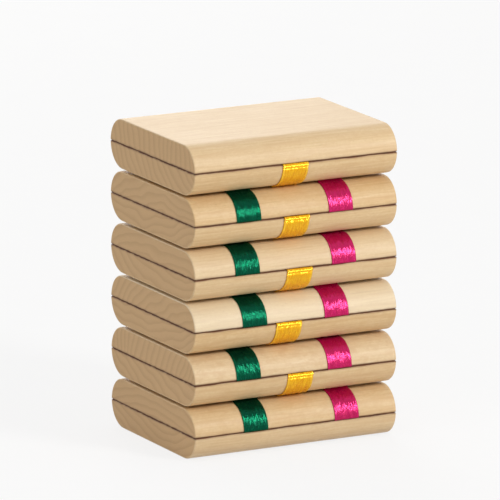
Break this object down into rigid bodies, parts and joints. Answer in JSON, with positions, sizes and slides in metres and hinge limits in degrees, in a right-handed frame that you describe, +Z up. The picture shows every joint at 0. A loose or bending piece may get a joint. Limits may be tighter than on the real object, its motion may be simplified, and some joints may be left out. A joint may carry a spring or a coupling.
{
  "type": "jacobs ladder toy",
  "caption": "Folded Jacob's ladder: a stack of round-ended wooden blocks that roll open one after another on satin ribbons.",
  "frame": {"origin": "under the middle of the bottom block, on the surface that the stack stands on", "axes": "+X across the blocks, along the grain and square to the ribbons; -Y to the front; +Z up through the stack"},
  "size_m": [0.0616, 0.0506, 0.0863],
  "materials": {
    "wood": "bare sanded maple",
    "green_satin": "satin ribbon",
    "yellow_satin": "satin ribbon",
    "pink_satin": "satin ribbon"
  },
  "bodies": {
    "block_1": {"block_1_lower_ply": "wood", "block_1_upper_ply": "wood", "green_ribbon_1_anchor": "green_satin", "yellow_ribbon_1_run": "yellow_satin", "pink_ribbon_1_anchor": "pink_satin"},
    "block_2": {"block_2_lower_ply": "wood", "block_2_upper_ply": "wood", "green_ribbon_1_run": "green_satin", "yellow_ribbon_1_anchor": "yellow_satin", "pink_ribbon_1_run": "pink_satin", "green_ribbon_2_run": "green_satin", "yellow_ribbon_2_anchor": "yellow_satin", "pink_ribbon_2_run": "pink_satin"},
    "block_3": {"block_3_lower_ply": "wood", "block_3_upper_ply": "wood", "green_ribbon_2_anchor": "green_satin", "yellow_ribbon_2_run": "yellow_satin", "pink_ribbon_2_anchor": "pink_satin", "green_ribbon_3_anchor": "green_satin", "yellow_ribbon_3_run": "yellow_satin", "pink_ribbon_3_anchor": "pink_satin"},
    "block_4": {"block_4_lower_ply": "wood", "block_4_upper_ply": "wood", "green_ribbon_3_run": "green_satin", "yellow_ribbon_3_anchor": "yellow_satin", "pink_ribbon_3_run": "pink_satin", "green_ribbon_4_run": "green_satin", "yellow_ribbon_4_anchor": "yellow_satin", "pink_ribbon_4_run": "pink_satin"},
    "block_5": {"block_5_lower_ply": "wood", "block_5_upper_ply": "wood", "green_ribbon_4_anchor": "green_satin", "yellow_ribbon_4_run": "yellow_satin", "pink_ribbon_4_anchor": "pink_satin", "green_ribbon_5_anchor": "green_satin", "yellow_ribbon_5_run": "yellow_satin", "pink_ribbon_5_anchor": "pink_satin"},
    "block_6": {"block_6_lower_ply": "wood", "block_6_upper_ply": "wood", "green_ribbon_5_run": "green_satin", "yellow_ribbon_5_anchor": "yellow_satin", "pink_ribbon_5_run": "pink_satin"},
    "hinge_1": {"green_ribbon_1_crossing": "green_satin", "yellow_ribbon_1_crossing": "yellow_satin", "pink_ribbon_1_crossing": "pink_satin"},
    "hinge_2": {"green_ribbon_2_crossing": "green_satin", "yellow_ribbon_2_crossing": "yellow_satin", "pink_ribbon_2_crossing": "pink_satin"},
    "hinge_3": {"green_ribbon_3_crossing": "green_satin", "yellow_ribbon_3_crossing": "yellow_satin", "pink_ribbon_3_crossing": "pink_satin"},
    "hinge_4": {"green_ribbon_4_crossing": "green_satin", "yellow_ribbon_4_crossing": "yellow_satin", "pink_ribbon_4_crossing": "pink_satin"},
    "hinge_5": {"green_ribbon_5_crossing": "green_satin", "yellow_ribbon_5_crossing": "yellow_satin", "pink_ribbon_5_crossing": "pink_satin"}
  },
  "joints": [
    {"name": "gap_1_open", "type": "hinge", "parent": "block_2", "child": "hinge_1", "pos_m": [0, -0.0181, 0.0214], "axis": [-1, 0, 0], "range_deg": [0, 90]},
    {"name": "gap_1_roll", "type": "hinge", "parent": "hinge_1", "child": "block_1", "pos_m": [0, -0.0181, 0.0069], "axis": [-1, 0, 0], "range_deg": [0, 90]},
    {"name": "gap_2_open", "type": "hinge", "parent": "block_3", "child": "hinge_2", "pos_m": [0, 0.0181, 0.0359], "axis": [1, 0, 0], "range_deg": [0, 90]},
    {"name": "gap_2_roll", "type": "hinge", "parent": "hinge_2", "child": "block_2", "pos_m": [0, 0.0181, 0.0214], "axis": [1, 0, 0], "range_deg": [0, 90]},
    {"name": "gap_3_open", "type": "hinge", "parent": "block_3", "child": "hinge_3", "pos_m": [0, -0.0181, 0.0359], "axis": [1, 0, 0], "range_deg": [0, 90]},
    {"name": "gap_3_roll", "type": "hinge", "parent": "hinge_3", "child": "block_4", "pos_m": [0, -0.0181, 0.0504], "axis": [1, 0, 0], "range_deg": [0, 90]},
    {"name": "gap_4_open", "type": "hinge", "parent": "block_4", "child": "hinge_4", "pos_m": [0, 0.0181, 0.0504], "axis": [-1, 0, 0], "range_deg": [0, 90]},
    {"name": "gap_4_roll", "type": "hinge", "parent": "hinge_4", "child": "block_5", "pos_m": [0, 0.0181, 0.0649], "axis": [-1, 0, 0], "range_deg": [0, 90]},
    {"name": "gap_5_open", "type": "hinge", "parent": "block_5", "child": "hinge_5", "pos_m": [0, -0.0181, 0.0649], "axis": [1, 0, 0], "range_deg": [0, 90]},
    {"name": "gap_5_roll", "type": "hinge", "parent": "hinge_5", "child": "block_6", "pos_m": [0, -0.0181, 0.0794], "axis": [1, 0, 0], "range_deg": [0, 90]}
  ],
  "couplings": [
    {"joint": "gap_1_roll", "follows": "gap_1_open", "ratio": 1},
    {"joint": "gap_2_roll", "follows": "gap_2_open", "ratio": 1},
    {"joint": "gap_3_roll", "follows": "gap_3_open", "ratio": 1},
    {"joint": "gap_4_roll", "follows": "gap_4_open", "ratio": 1},
    {"joint": "gap_5_roll", "follows": "gap_5_open", "ratio": 1}
  ]
}
